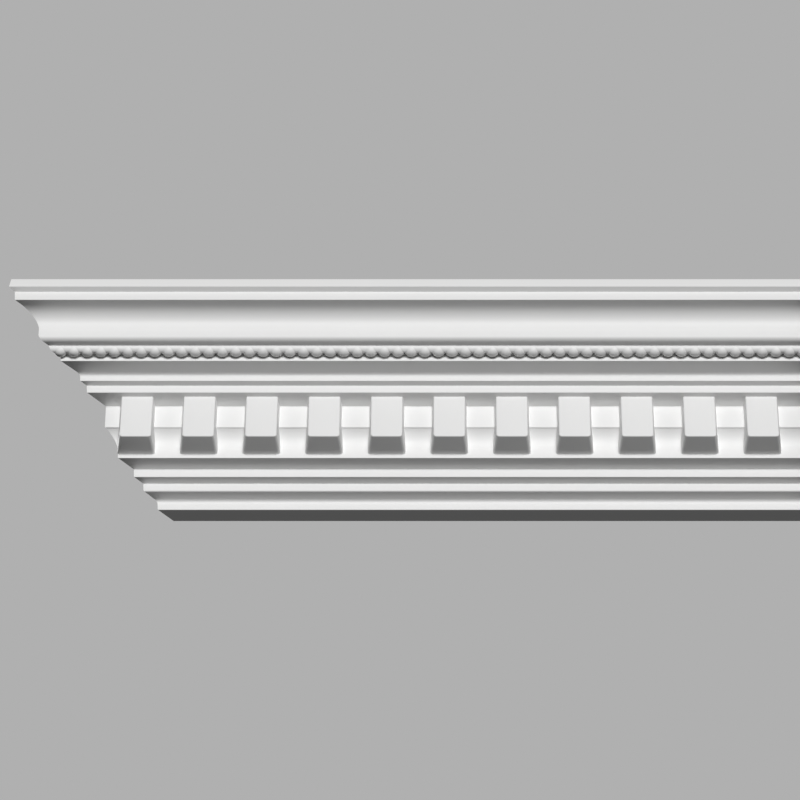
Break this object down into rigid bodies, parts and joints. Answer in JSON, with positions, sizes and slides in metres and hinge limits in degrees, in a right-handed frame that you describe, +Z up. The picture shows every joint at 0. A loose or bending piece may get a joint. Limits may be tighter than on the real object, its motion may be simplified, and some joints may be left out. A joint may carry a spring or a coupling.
{
  "type": "cornice moulding length",
  "caption": "Wall-to-ceiling cornice moulding with a cove crown, a bead row, a dentil course and a stepped foot, mitred at one end and square at the other.",
  "frame": {"origin": "centre of the flat strip at the back that is bonded to the wall", "axes": "+X along the moulding, to the right as seen from the room; +Y into the wall, so the face looks along -Y; +Z up towards the ceiling"},
  "size_m": [0.6748, 0.1408, 0.153],
  "materials": {
    "moulded_white": "smooth white moulded foam with a factory primer coat, satin to matte"
  },
  "bodies": {
    "root": {"cornice_length": "moulded_white"}
  },
  "joints": []
}
